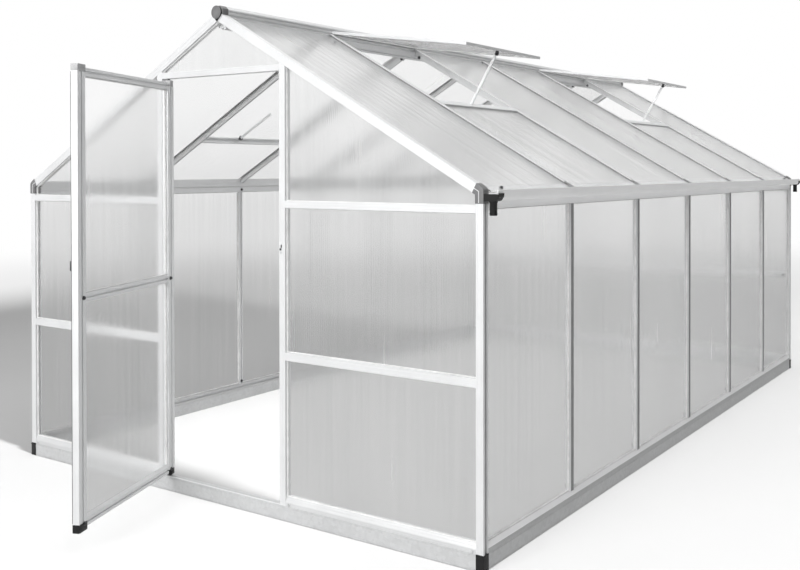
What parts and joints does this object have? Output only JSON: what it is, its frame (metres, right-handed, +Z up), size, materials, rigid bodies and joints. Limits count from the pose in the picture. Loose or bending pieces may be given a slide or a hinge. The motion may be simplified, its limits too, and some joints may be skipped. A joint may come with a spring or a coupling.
{
  "type": "polycarbonate greenhouse",
  "caption": "Walk-in garden greenhouse with an aluminium frame, twin-wall polycarbonate sheets, roof vents, gutters and a hinged gable door.",
  "frame": {"origin": "middle of the doorway, on the underside of the front base rail, half way through its thickness", "axes": "+X to the right seen from the door side, +Y to the back gable, +Z up"},
  "size_m": [2.616, 4.1866, 1.95],
  "materials": {
    "aluminium_frame": "satin mill finish",
    "base_steel": "satin galvanised",
    "twinwall_sheet": "translucent twin-wall polycarbonate with fine upright flutes",
    "black_plastic": "fine moulded grain",
    "dark_metal": "satin"
  },
  "bodies": {
    "greenhouse": {"back_base_rail": "base_steel", "back_gable_panels": "twinwall_sheet", "back_gable_posts": "aluminium_frame", "back_panels": "twinwall_sheet", "back_rafters": "aluminium_frame", "back_rails": "aluminium_frame", "back_sill_rails": "aluminium_frame", "base_corner_caps": "black_plastic", "corner_posts": "aluminium_frame", "door_header": "aluminium_frame", "door_jambs": "aluminium_frame", "door_pivot_pins": "dark_metal", "eave_corner_caps": "black_plastic", "front_base_rail": "base_steel", "front_gable_panels": "twinwall_sheet", "front_panels": "twinwall_sheet", "front_rafters": "aluminium_frame", "front_rails": "aluminium_frame", "front_sill_rails": "aluminium_frame", "gutter_end_cap": "black_plastic", "gutter_outlets": "black_plastic", "latch_keeper": "dark_metal", "left_base_rail": "base_steel", "left_eave_beam": "aluminium_frame", "left_gutter_face": "aluminium_frame", "left_gutter_floor": "aluminium_frame", "left_roof_bars": "aluminium_frame", "left_roof_panels": "twinwall_sheet", "left_sill_rail": "aluminium_frame", "left_wall_bars": "aluminium_frame", "left_wall_panels": "twinwall_sheet", "ridge_beam": "aluminium_frame", "ridge_caps": "black_plastic", "right_base_rail": "base_steel", "right_eave_beam": "aluminium_frame", "right_gutter_face": "aluminium_frame", "right_gutter_floor": "aluminium_frame", "right_roof_bars": "aluminium_frame", "right_roof_panels": "twinwall_sheet", "right_sill_rail": "aluminium_frame", "right_wall_bars": "aluminium_frame", "right_wall_panels": "twinwall_sheet", "vent_edge_bars": "aluminium_frame", "vent_hinge_bars": "aluminium_frame", "vent_panes": "twinwall_sheet", "vent_side_bars": "aluminium_frame", "vent_sills": "aluminium_frame", "vent_stay_brackets": "dark_metal", "vent_stays": "aluminium_frame"},
    "door": {"door_corner_caps": "black_plastic", "door_free_stile": "aluminium_frame", "door_hinge_stile": "aluminium_frame", "door_latch": "dark_metal", "door_panels": "twinwall_sheet", "door_pivot_blocks": "black_plastic", "door_rails": "aluminium_frame"}
  },
  "joints": [
    {"name": "door_hinge", "type": "hinge", "parent": "greenhouse", "child": "door", "pos_m": [-0.307, 0, 0.063], "axis": [0, 0, -1], "range_deg": [-66, 49]}
  ]
}
